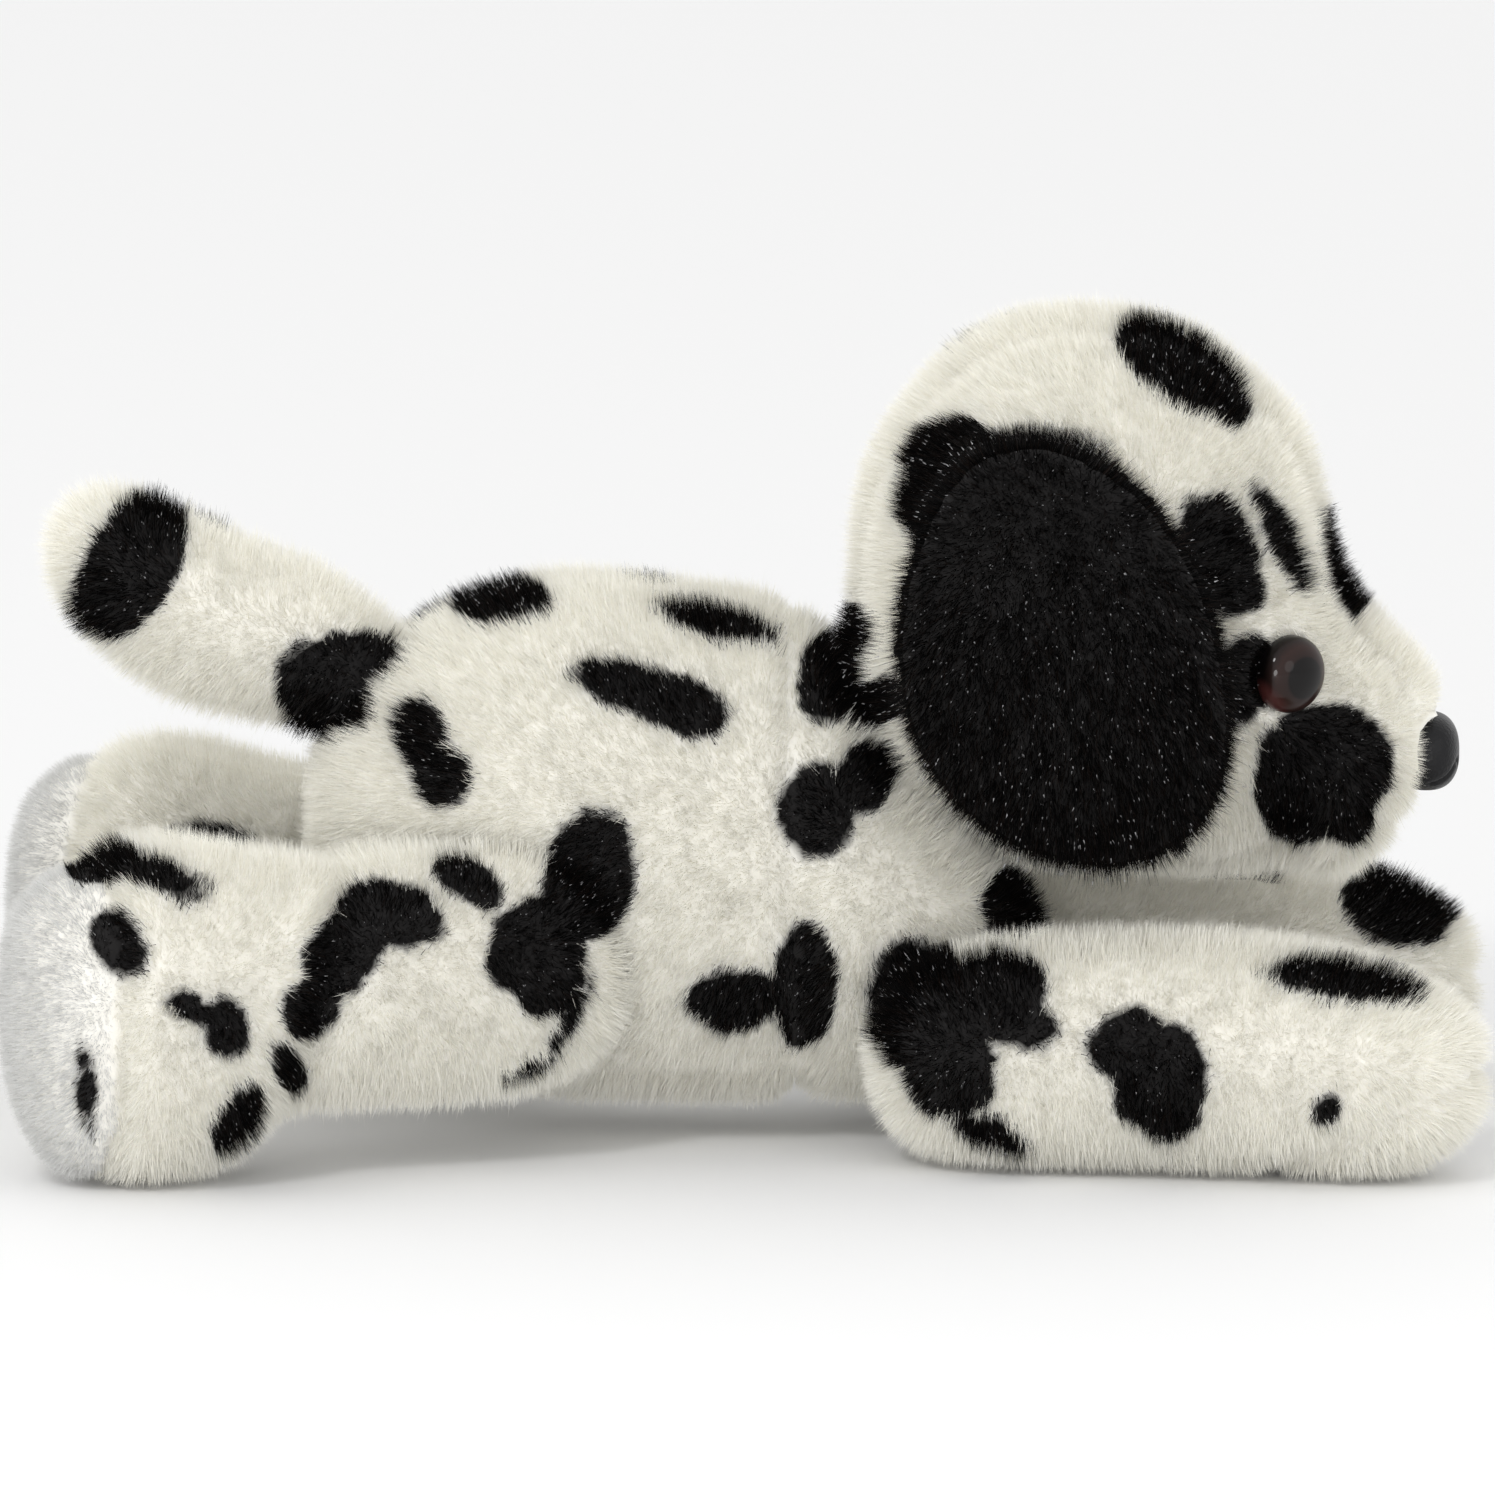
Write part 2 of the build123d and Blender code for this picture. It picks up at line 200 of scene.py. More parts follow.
# The way the pile of each form is combed.
NAPS = {
    "ear": (0.1, 0.0, -1.0),
    "torso": (-1.0, 0.0, 0.1),
    "head": (-1.0, 0.0, 0.25),
    "front_leg": (0.6, 0.0, -0.3),
    "hind_leg": (-0.8, 0.0, -0.2),
    "tail": (-1.0, 0.0, 0.4),
}


# ---------------------------------------------------------------- small mesh helpers
def points_of(mesh):
    """A mesh's vertices as an array."""
    flat = np.zeros(len(mesh.vertices) * 3)
    mesh.vertices.foreach_get("co", flat)
    return flat.reshape(-1, 3)


def normals_of(mesh):
    """A mesh's vertex normals as an array."""
    flat = np.zeros(len(mesh.vertices) * 3)
    mesh.vertices.foreach_get("normal", flat)
    return flat.reshape(-1, 3)


def set_points(mesh, points):
    mesh.vertices.foreach_set("co", np.ascontiguousarray(points, dtype=np.float32).ravel())
    mesh.update()


def new_object(name, mesh):
    ob = bpy.data.objects.new(name, mesh)
    bpy.context.scene.collection.objects.link(ob)
    return ob


def smooth_shade(ob):
    ob.data.polygons.foreach_set("use_smooth", [True] * len(ob.data.polygons))


def apply_modifiers(ob):
    """Replaces an object's mesh with its evaluated one, so that no modifier is left."""
    graph = bpy.context.evaluated_depsgraph_get()
    mesh = bpy.data.meshes.new_from_object(ob.evaluated_get(graph))
    old = ob.data
    ob.modifiers.clear()
    ob.data = mesh
    bpy.data.meshes.remove(old)


def joined_nodes(name, nodes, hull=False):
    """One new object from copies of CAD nodes' meshes, or from the hull around them."""
    bm = bmesh.new()
    for node in nodes:
        bm.from_mesh(frame["nodes"][node].data)
    if hull:
        made = bmesh.ops.convex_hull(bm, input=bm.verts)
        unused = made["geom_interior"] + made["geom_unused"]
        spare = list({g for g in unused if isinstance(g, bmesh.types.BMVert)})
        bmesh.ops.delete(bm, geom=spare, context="VERTS")
    mesh = bpy.data.meshes.new(name)
    bm.to_mesh(mesh)
    bm.free()
    return new_object(name, mesh)


def remeshed(ob, voxel, smoothing):
    """A voxel remesh into even quads, then a smoothing that removes the voxels' steps."""
    mod = ob.modifiers.new("even", "REMESH")
    mod.mode = "VOXEL"
    mod.voxel_size = voxel
    soften = ob.modifiers.new("soften", "SMOOTH")
    soften.factor = 0.5
    soften.iterations = smoothing
    apply_modifiers(ob)


def tree_of(ob):
    """A search tree of a mesh in its object's own coordinates."""
    corners = [v.co for v in ob.data.vertices]
    faces = [p.vertices for p in ob.data.polygons]
    return BVHTree.FromPolygons(corners, faces)


def neighbours(mesh):
    """The edges as an array of vertex pairs."""
    flat = np.zeros(len(mesh.edges) * 2, dtype=np.int64)
    mesh.edges.foreach_get("vertices", flat)
    return flat.reshape(-1, 2)


# ---------------------------------------------------------------- skins
def panel_labels(ob, panels):
    """Which CAD panel each vertex of a skin lies on."""
    trees = [tree_of(frame["nodes"][p]) for p in panels]
    labels = np.zeros(len(ob.data.vertices), dtype=np.int64)
    for i, vertex in enumerate(ob.data.vertices):
        gaps = [tree.find_nearest(vertex.co)[3] for tree in trees]
        labels[i] = int(np.argmin(gaps))
    return labels


def seam_distance(mesh, labels, rings=8):
    """Distance from each vertex to the nearest seam, walked along the edges."""
    pairs = neighbours(mesh)
    points = points_of(mesh)
    lengths = np.linalg.norm(points[pairs[:, 0]] - points[pairs[:, 1]], axis=1)
    crossing = labels[pairs[:, 0]] != labels[pairs[:, 1]]
    distance = np.full(len(points), NO_SEAM)
    distance[pairs[crossing].ravel()] = 0.0
    for _ in range(rings):
        reach = distance[pairs] + lengths[:, None]
        np.minimum.at(distance, pairs[:, 0], reach[:, 1])
        np.minimum.at(distance, pairs[:, 1], reach[:, 0])
    return distance


def inflate(ob, held, pressure, frames, cap):
    """Blows a stuffed skin up against its seams by cloth simulation, and applies the result."""
    group = ob.vertex_groups.new(name="held")
    group.add([int(i) for i in np.nonzero(held)[0]], 1.0, "REPLACE")
    mod = ob.modifiers.new("stuffing", "CLOTH")
    cloth = mod.settings
    cloth.quality = 4
    cloth.mass = 0.02
    cloth.use_pressure = True
    cloth.uniform_pressure_force = pressure
    cloth.tension_stiffness = 12.0
    cloth.compression_stiffness = 12.0
    cloth.shear_stiffness = 5.0
    cloth.bending_stiffness = 0.3
    cloth.effector_weights.gravity = 0.0
    cloth.vertex_group_mass = group.name
    mod.point_cache.frame_start = 1
    mod.point_cache.frame_end = frames
    scene = bpy.context.scene
    before = points_of(ob.data)
    for number in range(1, frames + 1):
        scene.frame_set(number)
    graph = bpy.context.evaluated_depsgraph_get()
    after = points_of(ob.evaluated_get(graph).data)
    move = after - before
    size = np.linalg.norm(move, axis=1, keepdims=True)
    move *= np.minimum(1.0, cap / np.maximum(size, 1e-9))
    ob.modifiers.clear()
    ob.vertex_groups.clear()
    set_points(ob.data, before + move)
    scene.frame_set(1)


def make_skin(name, body, panels, inner, shape, voxel, hull, inset):
    """The stuffed skin of one sewn form, with its seams pulled in."""
    ob = joined_nodes(name, panels + inner + shape, hull)
    if name.endswith("ear_skin"):
        add_ear_root(ob, body)
    remeshed(ob, voxel, smoothing=6)
    labels = panel_labels(ob, panels)
    distance = seam_distance(ob.data, labels) if len(panels) > 1 else np.full(len(labels), NO_SEAM)
    points = points_of(ob.data)
    normals = normals_of(ob.data)
    crease = SEAM_DEPTH * np.exp(-(distance / SEAM_WIDTH) ** 2)
    shorter = np.array([pile_length(panel) < PILE_LENGTH for panel in panels])[labels]
    depth = np.where(shorter, inset * SHORT_PILE_INSET, inset) + crease
    if name.endswith("hind_leg_skin"):
        depth = depth + leg_fold(points, body)
    set_points(ob.data, points - normals * depth[:, None])
    held = distance < voxel * 0.8
    inflate(ob, held, SWELL_PRESSURE, SWELL_FRAMES, SWELL_CAP)
    if name.endswith("ear_skin"):
        shape_ear(ob)
    smooth_shade(ob)
    store(ob, "panel", labels)
    store(ob, "seam", distance)
    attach(ob, body)
    return ob


def add_ear_root(ob, body):
    """Adds an ear's folded root, which reaches in from its top edge to the seam on the head."""
    joint = next(j for j in frame["record"]["behaviour"]["joints"] if j["child"] == body)
    hinge = Vector(joint["pos_m"])
    outward = math.copysign(EAR_ROOT_OUT, hinge.y)
    place = Matrix.Translation(hinge + Vector((0.0, outward, -EAR_ROOT_DROP)))
    place = place @ Matrix.Diagonal((*EAR_ROOT_HALF, 1.0))
    bm = bmesh.new()
    bm.from_mesh(ob.data)
    bmesh.ops.create_icosphere(bm, subdivisions=3, radius=1.0, matrix=place)
    bm.to_mesh(ob.data)
    bm.free()


def shape_ear(ob):
    """Draws out the ear's lower front corner, fills in its upper back edge and lowers its top."""
    points = points_of(ob.data)
    middle = (points.max(axis=0) + points.min(axis=0)) / 2
    half = (points.max(axis=0) - points.min(axis=0)) / 2
    along = (points[:, 0] - middle[0]) / half[0]
    down = (middle[2] - points[:, 2]) / half[2]
    corner = np.clip(along, 0, 1) * np.clip(down, 0, 1)
    rear = np.clip(-along, 0, 1) * np.clip(-down + 0.5, 0, 1)
    points[:, 0] += EAR_FORWARD + EAR_CORNER * corner + 0.8 * EAR_CORNER * rear
    points[:, 2] -= 0.7 * EAR_CORNER * corner + EAR_TOP_DROP * np.clip(-down, 0, 1)
    set_points(ob.data, points)


def leg_fold(points, body):
    """How far the fold ahead of the foot pulls a hind leg's skin in."""
    hip = next(np.array(j["pos_m"]) for j in frame["record"]["behaviour"]["joints"] if j["child"] == body)
    low, high = (np.array(corner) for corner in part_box(body.replace("hind_leg", "hind_sole_pad")))
    along = (low + high) / 2 - hip
    along[2] = 0.0
    along /= np.linalg.norm(along)
    reach = (points - hip) @ along + FOLD_LEAN * (points[:, 2] - hip[2])
    return FOLD_DEPTH * np.exp(-((reach - FOLD_BEHIND_HIP) / FOLD_WIDTH) ** 2)


def store(ob, name, values):
    """Keeps one number for each vertex on the mesh."""
    attribute = ob.data.attributes.new(name, "FLOAT", "POINT")
    attribute.data.foreach_set("value", np.asarray(values, dtype=np.float32))


def stored(ob, name):
    values = np.zeros(len(ob.data.vertices), dtype=np.float32)
    ob.data.attributes[name].data.foreach_get("value", values)
    return values


# ---------------------------------------------------------------- printed patches
# Each patch is an ellipse as it looks from one side: where its middle is along the toy and
# up the view, its two half sizes and its tilt. The near side is the dog's right.
NEAR = [
    # tail
    (-85.3, 78.1, 6.4, 11.8, -27), (-89.6, 73.1, 4.8, 5.4, 0),
    (-60.8, 59.9, 4.6, 7.6, 8), (-55.2, 64.5, 7.4, 4.0, 14), (-57.2, 59.5, 5.4, 4.8, 0),
    # back and flank
    (-34.1, 72.9, 7.0, 3.4, 4), (-4.1, 70.1, 8.6, 2.4, -14),
    (-16.9, 61.1, 7.2, 3.5, -18), (-9.1, 58.3, 6.6, 4.1, -18),
    (-45.3, 53.9, 3.8, 5.4, 24), (-42.7, 48.7, 4.0, 4.8, 14),
    (-21.9, 34.7, 6.4, 9.0, -8), (-29.1, 24.7, 6.8, 7.8, -25), (-27.5, 19.7, 5.2, 4.8, 0),
    (-38.5, 34.3, 5.8, 2.9, -32), (-24.5, 14.7, 1.2, 6.0, -28), (-30.0, 7.7, 4.4, 1.0, 26),
    # chest
    (9.7, 43.4, 5.2, 6.8, 0), (16.3, 48.4, 4.2, 5.2, -20),
    (11.5, 62.4, 4.6, 6.6, -10), (14.5, 68.0, 3.4, 4.6, -10), (18.3, 58.6, 4.6, 3.4, 30),
    (-1.9, 17.2, 6.8, 4.4, 8), (7.9, 19.4, 4.6, 8.8, -4), (37.1, 30.2, 4.8, 6.4, -10),
    # head
    (60.0, 105.1, 10.6, 5.2, -33), (66.4, 100.1, 3.6, 3.0, -40),
    (27.8, 92.3, 7.0, 5.8, 10), (24.8, 86.3, 4.6, 6.0, 0),
    (64.8, 78.9, 5.8, 8.8, 8), (68.2, 73.9, 3.6, 3.4, 0),
    (74.2, 81.1, 2.2, 7.8, 26), (82.8, 78.7, 3.6, 8.6, 8),
    (68.4, 61.9, 4.3, 6.6, -20), (80.0, 49.9, 9.8, 8.8, 0), (76.0, 46.7, 6.2, 8.2, 10),
    (83.0, 42.7, 3.8, 4.6, 0),
    # front leg
    (24.1, 16.4, 8.2, 10.2, 10), (33.1, 18.6, 8.6, 6.0, 12), (27.5, 7.8, 6.8, 7.0, 30),
    (37.1, 14.6, 5.2, 3.6, -20), (33.3, -1.2, 6.0, 2.2, -22),
    (52.7, 11.2, 6.2, 5.2, 0), (56.7, 6.8, 6.8, 7.6, 0), (57.7, 1.4, 4.8, 3.6, 0),
    (82.5, 20.6, 11.0, 2.9, -9), (80.0, 2.4, 1.8, 2.4, -30), (91.1, 31.0, 8.2, 6.4, -8),
    # hind leg
    (-89.0, 36.7, 5.2, 3.2, 10), (-82.8, 35.7, 8.0, 2.4, -14), (-79.8, 34.1, 5.0, 1.8, -26),
    (-86.4, 25.5, 3.6, 4.8, 22), (-71.8, 13.7, 3.2, 4.8, 8), (-76.2, 16.3, 4.6, 2.0, -18),
    (-91.0, 5.3, 1.4, 5.4, 4), (-63.0, 7.9, 2.2, 3.5, 18), (-69.8, 0.9, 2.8, 5.6, -32),
    (-49.2, 29.5, 7.4, 4.8, -10), (-55.6, 23.9, 4.8, 6.8, -34), (-60.0, 16.7, 3.8, 5.0, -34),
    (-74.8, 40.3, 5.2, 1.6, -6),
]


FAR = [
    (-78.0, 82.0, 6.0, 9.0, -25), (-58.0, 66.0, 6.0, 4.5, 20),
    (-40.0, 66.0, 7.5, 4.4, 20), (-14.0, 70.0, 5.0, 4.0, -10), (-22.0, 52.0, 8.0, 4.2, 30),
    (2.0, 56.0, 4.4, 7.0, 15), (-30.0, 30.0, 6.4, 8.4, 15), (-8.0, 26.0, 7.0, 5.0, -20),
    (14.0, 36.0, 5.0, 6.4, 0), (8.0, 12.0, 6.0, 3.0, 0),
    (34.0, 104.0, 7.0, 4.6, 30), (60.0, 98.0, 4.4, 6.4, 30), (24.0, 78.0, 4.4, 6.6, 0),
    (70.0, 84.0, 4.8, 6.0, -20), (81.0, 74.0, 2.8, 6.6, 0), (66.0, 60.0, 4.0, 6.0, 20),
    (80.0, 50.0, 7.4, 7.0, 0), (70.0, 42.0, 4.0, 4.0, 0),
    (26.0, 20.0, 7.0, 8.0, 0), (46.0, 10.0, 5.4, 6.4, 20), (66.0, 22.0, 8.0, 3.4, 0),
    (91.6, 15.0, 7.4, 5.4, -20), (76.0, 4.0, 5.0, 3.4, 0),
    (-50.0, 30.0, 7.0, 6.0, 30), (-62.0, 14.0, 4.6, 5.6, 0), (-78.0, 30.0, 6.0, 4.0, -20),
    (-84.0, 10.0, 4.4, 5.6, 20), (-70.0, 40.0, 5.6, 2.2, 0),
]


def view_axes(side):
    """The across, up and into-the-page directions of a side view of the toy."""
    lean = -1.0 if side == "far" else 1.0
    across = np.array([1.0, 0.0, 0.0])
    up = np.array([0.0, lean * math.sin(VIEW_RISE), math.cos(VIEW_RISE)])
    into = np.array([0.0, lean * math.cos(VIEW_RISE), -math.sin(VIEW_RISE)])
    return across, up, into


def ripple(points, wave, seed):
    """Smooth noise between about -1 and 1, from a few crossed waves."""
    rng = np.random.default_rng(seed)
    total = np.zeros(len(points))
    for _ in range(7):
        direction = rng.normal(size=3)
        direction *= 2 * math.pi / (wave * rng.uniform(0.6, 1.7) * np.linalg.norm(direction))
        total += np.sin(points @ direction + rng.uniform(0, 2 * math.pi))
    return total / 3.0


def with_lobes(table, seed):
    """The patches and a smaller lobe beside each, so that none is a plain ellipse."""
    rng = np.random.default_rng(seed)
    lobed = list(table)
    for u, v, half_u, half_v, tilt in table:
        angle = rng.uniform(0, 2 * math.pi)
        shift = rng.uniform(0.55, 0.8)
        lobed.append((u + shift * half_u * math.cos(angle), v + shift * half_v * math.sin(angle),
                      half_u * rng.uniform(0.5, 0.8), half_v * rng.uniform(0.5, 0.8), rng.uniform(-60, 60)))
    return lobed


class Patches:
    """The printed patches, each laid on the skins along the view that it is described in."""

    def __init__(self, skins):
        trees = [tree_of(ob) for ob in skins]
        self.spots = []
        for side, table in (("near", NEAR), ("far", with_lobes(FAR, seed=7))):
            across, up, into = view_axes(side)
            for u, v, half_u, half_v, tilt in table:
                depth = self.depth_under(trees, u, v, across, up, into)
                self.spots.append((side, u, v, half_u, half_v, math.radians(tilt), depth))

    @staticmethod
    def depth_under(trees, u, v, across, up, into):
        """How deep the nearest skin lies under a patch's middle, or beside it if there is none."""
        away = 400.0
        step = 1.5
        rings, turns = 6, 12
        for ring in range(rings):
            for turn in range(turns if ring else 1):
                angle = 2 * math.pi * turn / turns
                beside_u = u + step * ring * math.cos(angle)
                beside_v = v + step * ring * math.sin(angle)
                start = Vector((across * beside_u + up * beside_v - into * away) * MM)
                gaps = [tree.ray_cast(start, Vector(into))[3] for tree in trees]
                gaps = [gap for gap in gaps if gap is not None]
                if gaps:
                    return min(gaps) / MM - away
        return 0.0

    def darkness(self, points, normals):
        """Above zero where the cloth is black, roughly in millimetres from a patch's edge."""
        spots_mm = points / MM
        best = np.full(len(points), OUTSIDE_MM)
        for side in ("near", "far"):
            across, up, into = view_axes(side)
            u = spots_mm @ across
            v = spots_mm @ up
            depth = spots_mm @ into
            facing = normals @ into < FACING_AWAY
            if side == "far":
                facing = facing & (spots_mm[:, 1] > FAR_EDGE_MM)
            slope = np.clip(-(normals @ into), STEEPEST, 1.0)
            for spot in (s for s in self.spots if s[0] == side):
                _, cu, cv, half_u, half_v, tilt, middle = spot
                du = u - cu
                dv = v - cv
                a = (du * math.cos(tilt) + dv * math.sin(tilt)) / half_u
                b = (dv * math.cos(tilt) - du * math.sin(tilt)) / half_v
                c = (depth - middle) / PATCH_DEPTH_MM
                inside = (1.0 - np.sqrt(a ** 2 + b ** 2 + c ** 4)) * min(half_u, half_v)
                inside = np.where(facing, inside / slope, OUTSIDE_MM)
                best = np.maximum(best, inside)
        return best + 0.5 * ripple(spots_mm, 4.5, 11) + 0.3 * ripple(spots_mm, 1.8, 12)


# ---------------------------------------------------------------- pile
def sample_skin(ob, keep, per_m2, rng):
    """Even random roots on the kept triangles, with the values at their three corners."""
    ob.data.calc_loop_triangles()
    count = len(ob.data.loop_triangles)
    flat = np.zeros(count * 3, dtype=np.int64)
    ob.data.loop_triangles.foreach_get("vertices", flat)
    corners = flat.reshape(-1, 3)
    corners = corners[keep[corners].all(axis=1)]
    points = points_of(ob.data)
    a, b, c = (points[corners[:, i]] for i in range(3))
    areas = np.linalg.norm(np.cross(b - a, c - a), axis=1) / 2
    number = int(areas.sum() * per_m2)
    picked = rng.choice(len(corners), size=number, p=areas / areas.sum())
    r1 = np.sqrt(rng.random(number))
    r2 = rng.random(number)
    weights = np.stack([1 - r1, r1 * (1 - r2), r1 * r2], axis=1)
    return corners[picked], weights


def blend_corners(values, corners, weights):
    """Values at the roots, from the values at the vertices."""
    if values.ndim == 1:
        return (values[corners] * weights).sum(axis=1)
    return (values[corners] * weights[:, :, None]).sum(axis=1)


def unit(vectors):
    return vectors / np.maximum(np.linalg.norm(vectors, axis=1, keepdims=True), 1e-12)


def buried_vertices(skins):
    """The vertices of each skin that lie near a joint and deep inside the skin it moves against."""
    trees = {name: tree_of(ob) for name, ob in skins.items()}
    buried = {name: np.zeros(len(ob.data.vertices), dtype=bool) for name, ob in skins.items()}
    for joint in frame["record"]["behaviour"]["joints"]:
        pair = [joint["parent"], joint["child"]]
        if joint["name"].endswith("ear_flap"):
            continue
        pivot = np.array(joint["pos_m"])
        reach = JOINT_REACH["neck" if "neck" in pair else pair[1].split("_", 1)[-1]]
        for mine, other in (pair, pair[::-1]):
            points = points_of(skins[mine].data)
            for i in np.nonzero(np.linalg.norm(points - pivot, axis=1) < reach)[0]:
                place, normal, _, gap = trees[other].find_nearest(points[i])
                if gap > BURIED and (Vector(points[i]) - place).dot(normal) < 0:
                    buried[mine][i] = True
    return buried


def fibre_mesh(name, roots, normals, directions, lengths, widths, rng, tone):
    """One tapering blade for each fibre, in its own tone."""
    number = len(roots)
    sideways = unit(np.cross(normals, directions) + 0.35 * rng.normal(size=(number, 3)))
    half = sideways * (widths / 2)[:, None]
    tips = roots + directions * lengths[:, None]
    tips[:, 2] = np.maximum(tips[:, 2], GROUND_CLEARANCE)
    verts = np.stack([roots - half, roots + half, tips], axis=1).reshape(-1, 3)
    mesh = bpy.data.meshes.new(name)
    mesh.vertices.add(number * 3)
    mesh.vertices.foreach_set("co", verts.astype(np.float32).ravel())
    mesh.loops.add(number * 3)
    mesh.loops.foreach_set("vertex_index", np.arange(number * 3, dtype=np.int32))
    mesh.polygons.add(number)
    mesh.polygons.foreach_set("loop_start", np.arange(0, number * 3, 3, dtype=np.int32))
    mesh.polygons.foreach_set("material_index", tone.astype(np.int32))
    mesh.update(calc_edges=True)
    return mesh


def pile_length(panel):
    """How long the pile of a panel is."""
    if panel.endswith("sole_pad"):
        return SHORT_PILE
    if panel.endswith("ear_lining"):
        return LINING_PILE
    if panel.endswith("ear_outer"):
        return EAR_PILE
    return PILE_LENGTH


def tones_of(panel, black):
    """The materials of a panel's light or black fibres, each with its share."""
    if black:
        return BLACK_TONES
    return SOLE_TONES if panel.endswith("sole_pad") else LIGHT_TONES


def trim_near(roots, lengths, buttons):
    """Pile is clipped short beside the plastic buttons, and there is none under them."""
    keep = np.ones(len(roots), dtype=bool)
    for centre, radius in buttons:
        gap = np.linalg.norm(roots - centre, axis=1) - radius
        keep &= gap > 0
        lengths = lengths * (1.0 - BUTTON_TRIM * np.exp(-(np.maximum(gap, 0) / BUTTON_TRIM_WIDTH) ** 2))
    return keep, lengths


def panel_roots(skin, labels, number, hidden, rng):
    """Random roots on one panel of a skin, each as three corners and their weights."""
    wanted = (labels == number) & ~hidden
    wider = wanted.copy()
    pairs = neighbours(skin.data)
    wider[pairs[:, 0]] |= wanted[pairs[:, 1]]
    wider[pairs[:, 1]] |= wanted[pairs[:, 0]]
    wider &= ~hidden
    if not wider.any():
        return None
    corners, weights = sample_skin(skin, wider, PILE_PER_M2, rng)
    nearest = corners[np.arange(len(corners)), np.argmax(weights, axis=1)]
    mine = labels[nearest] == number
    return corners[mine], weights[mine]


def comb_pile(roots, outward, nap, seed, rng):
    """The way each fibre points: outward, with a lean along the nap, in clumps and by chance."""
    comb = nap - outward * (outward @ nap)[:, None]
    loose = rng.normal(size=roots.shape)
    clump = np.stack([ripple(roots / MM, CLUMP_MM, seed + k) for k in (1, 2, 3)], axis=1)
    return unit(outward + COMBED * comb + CLUMPED * clump + LOOSE * loose)


def cut_pile(panel, seam_gap, rng):
    """The length of each fibre of a panel, shorter along its seams."""
    trimmed = 1.0 - SEAM_TRIM * np.exp(-(seam_gap / SEAM_TRIM_WIDTH) ** 2)
    spread = rng.normal(1.0, LENGTH_SPREAD, len(seam_gap)).clip(*LENGTH_LIMITS)
    stray = rng.random(len(seam_gap)) < STRAY_SHARE
    lengths = pile_length(panel) * trimmed * spread
    return np.where(stray, lengths * STRAY_LENGTH, lengths)


def add_fibres(panel, body, black, roots, outward, directions, lengths, widths, rng):
    """One piece that holds the light or the black fibres of a panel."""
    tones = tones_of(panel, black)
    tone = rng.choice(len(tones), size=len(roots), p=[share for _, share in tones])
    # painted glint: the last black tone is a light grey, put only on the fibre's tip and a little wider
    painted_glint = black & (tone == len(tones) - 1)
    lift = np.where(painted_glint, PAINTED_GLINT_START, 0.0) * lengths
    widths = widths * np.where(painted_glint, PAINTED_GLINT_WIDTH, 1.0)
    name = panel + ("_black_pile" if black else "_light_pile")
    starts = roots + directions * lift[:, None]
    mesh = fibre_mesh(name, starts, outward, directions, lengths - lift, widths, rng, tone)
    for material, _ in tones:
        mesh.materials.append(material)
    ob = new_object(name, mesh)
    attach(ob, body)


def add_pile(skin, body, panels, hidden, nap, patches, seed, buttons=(), all_black=False):
    """The pile of every panel of one skin, cleared where the skin is buried."""
    rng = np.random.default_rng(seed)
    points = points_of(skin.data)
    normals = normals_of(skin.data)
    labels = stored(skin, "panel")
    seam = stored(skin, "seam")
    for number, panel in enumerate(panels):
        found = panel_roots(skin, labels, number, hidden, rng)
        if found is None:
            continue
        corners, weights = found
        roots = blend_corners(points, corners, weights)
        outward = unit(blend_corners(normals, corners, weights))
        directions = comb_pile(roots, outward, nap, seed, rng)
        lengths = cut_pile(panel, blend_corners(seam, corners, weights), rng)
        free, lengths = trim_near(roots, lengths, buttons)
        roots, outward, directions, lengths = (a[free] for a in (roots, outward, directions, lengths))
        dark = np.full(len(roots), True)
        if not all_black:
            shown = roots + directions * (lengths * PATCH_ALONG_FIBRE)[:, None]
            dark = patches.darkness(shown, outward) > PATCH_EDGE_MM * rng.normal(size=len(roots))
        widths = PILE_WIDTH * rng.uniform(*WIDTH_LIMITS, len(roots))
        for black in (False, True):
            chosen = dark == black
            if chosen.any():
                add_fibres(panel, body, black, roots[chosen], outward[chosen], directions[chosen],
                           lengths[chosen], widths[chosen], rng)


# ---------------------------------------------------------------- materials
def new_material(name, base, roughness, **sockets):
    """A Principled material whose plain values sit on the shader itself."""
    material = bpy.data.materials.new(name)
    material.use_nodes = True
    shader = material.node_tree.nodes["Principled BSDF"]
    shader.inputs["Base Color"].default_value = (*base, 1.0)
    shader.inputs["Roughness"].default_value = roughness
    for socket, value in sockets.items():
        shader.inputs[socket.replace("_", " ")].default_value = value
    return material


